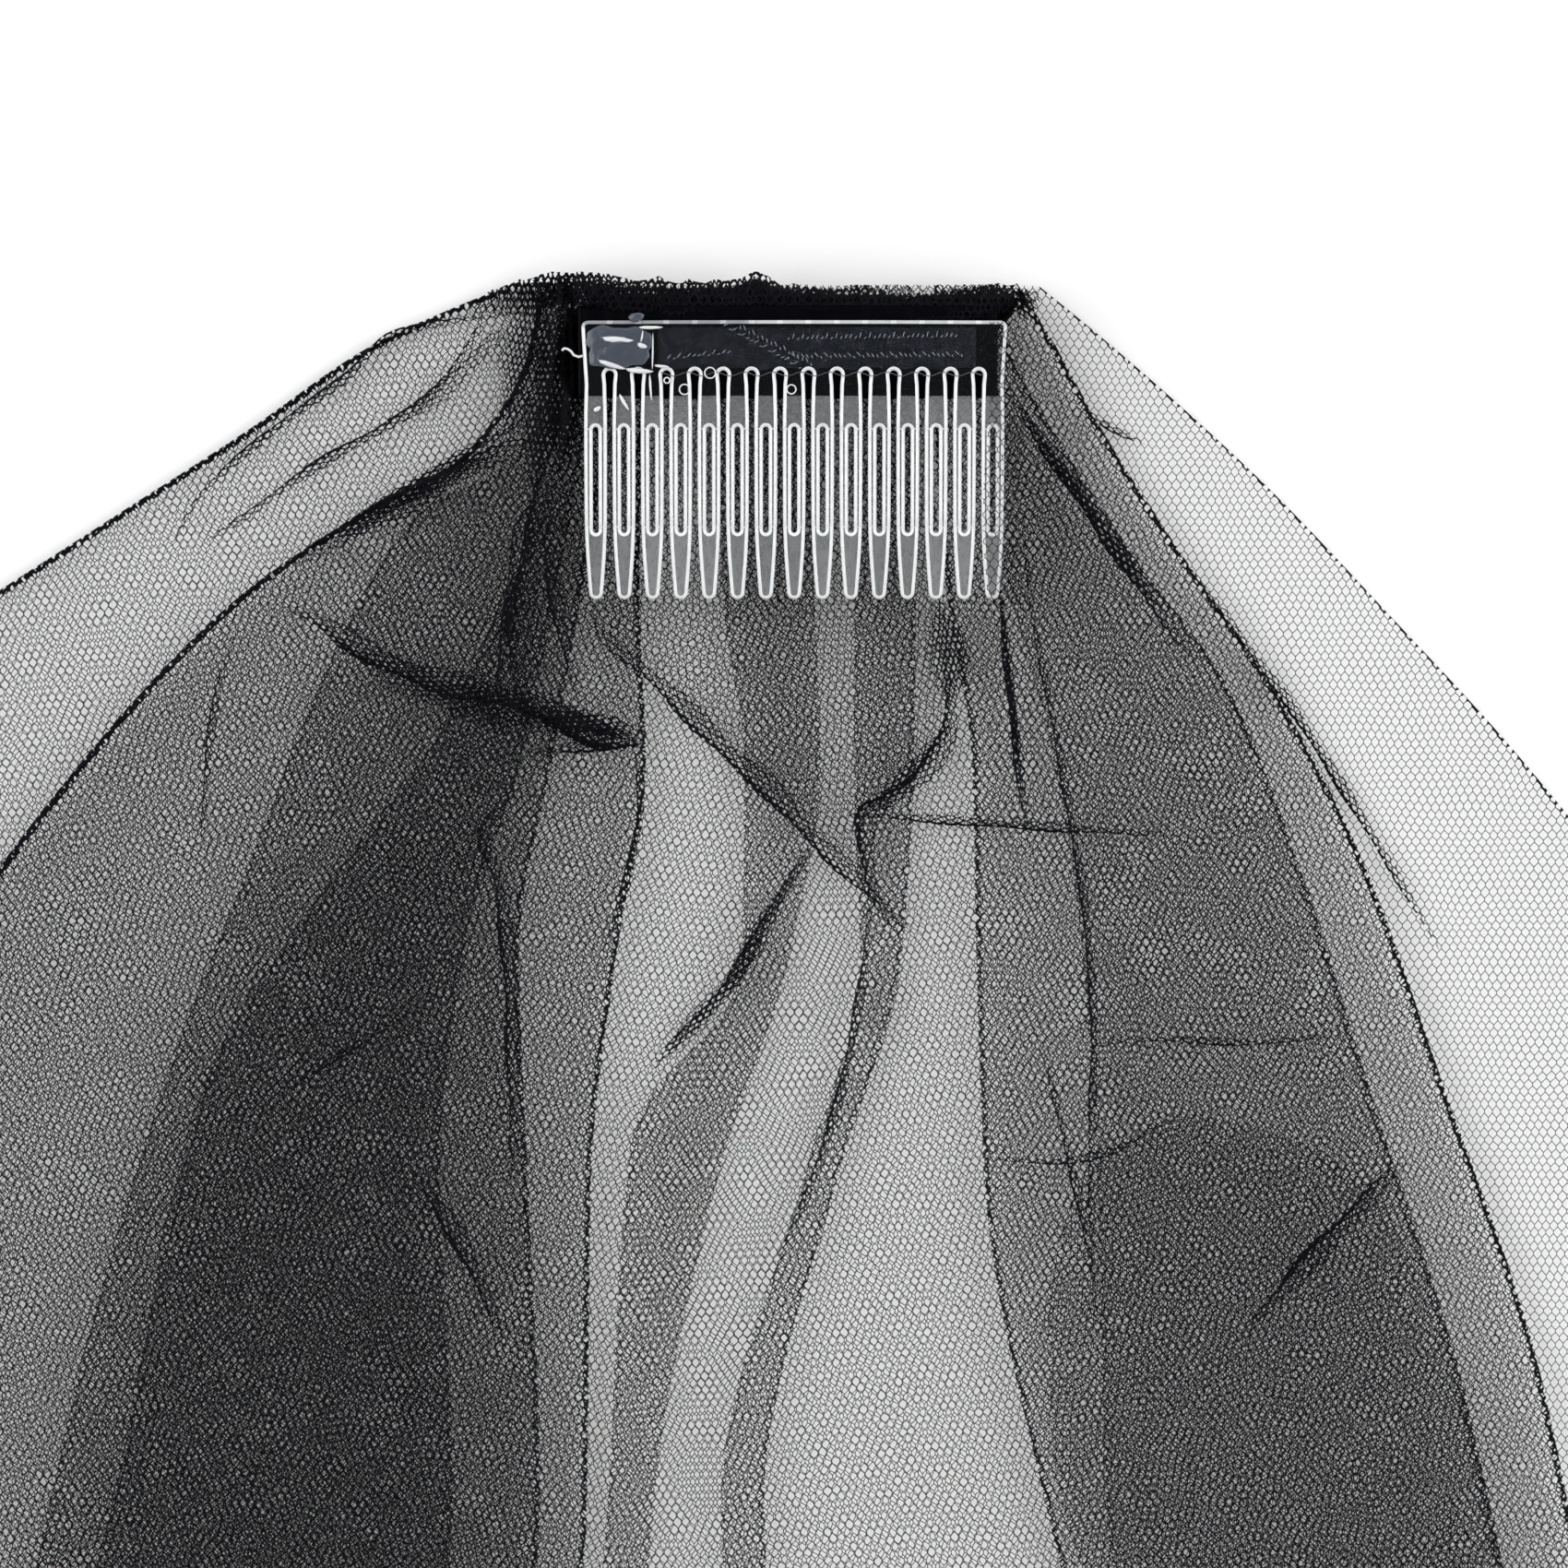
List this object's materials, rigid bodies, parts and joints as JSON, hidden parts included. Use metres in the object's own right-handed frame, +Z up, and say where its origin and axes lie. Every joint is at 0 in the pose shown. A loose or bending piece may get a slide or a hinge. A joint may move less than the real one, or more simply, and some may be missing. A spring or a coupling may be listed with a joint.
{
  "type": "cathedral veil on a hair comb",
  "caption": "Long single-tier black tulle veil, laid out flat in folds that fan from a ribbon-bound gather glued to a clear plastic hair comb.",
  "frame": {"origin": "on the surface that the veil lies on, under the middle of the comb's top edge", "axes": "+X across the comb to the right, +Y from the teeth to the comb's top edge, so the train runs to -Y, +Z up"},
  "size_m": [0.6479, 2.7466, 0.019],
  "materials": {
    "black_tulle": "fine hexagonal nylon net, slight sheen",
    "bunched_tulle": "the same net gathered so densely that it reads as solid black",
    "black_satin": "black satin ribbon",
    "hot_glue": "set hot-melt glue, clear and glossy",
    "clear_plastic": "clear injection-moulded plastic with light scuffs"
  },
  "bodies": {
    "root": {"tulle_veil": "black_tulle", "gathered_heading": "bunched_tulle", "ribbon_band": "black_satin", "glue_film": "hot_glue", "glue_blob": "hot_glue", "glue_dab": "hot_glue", "comb": "clear_plastic"}
  },
  "joints": []
}
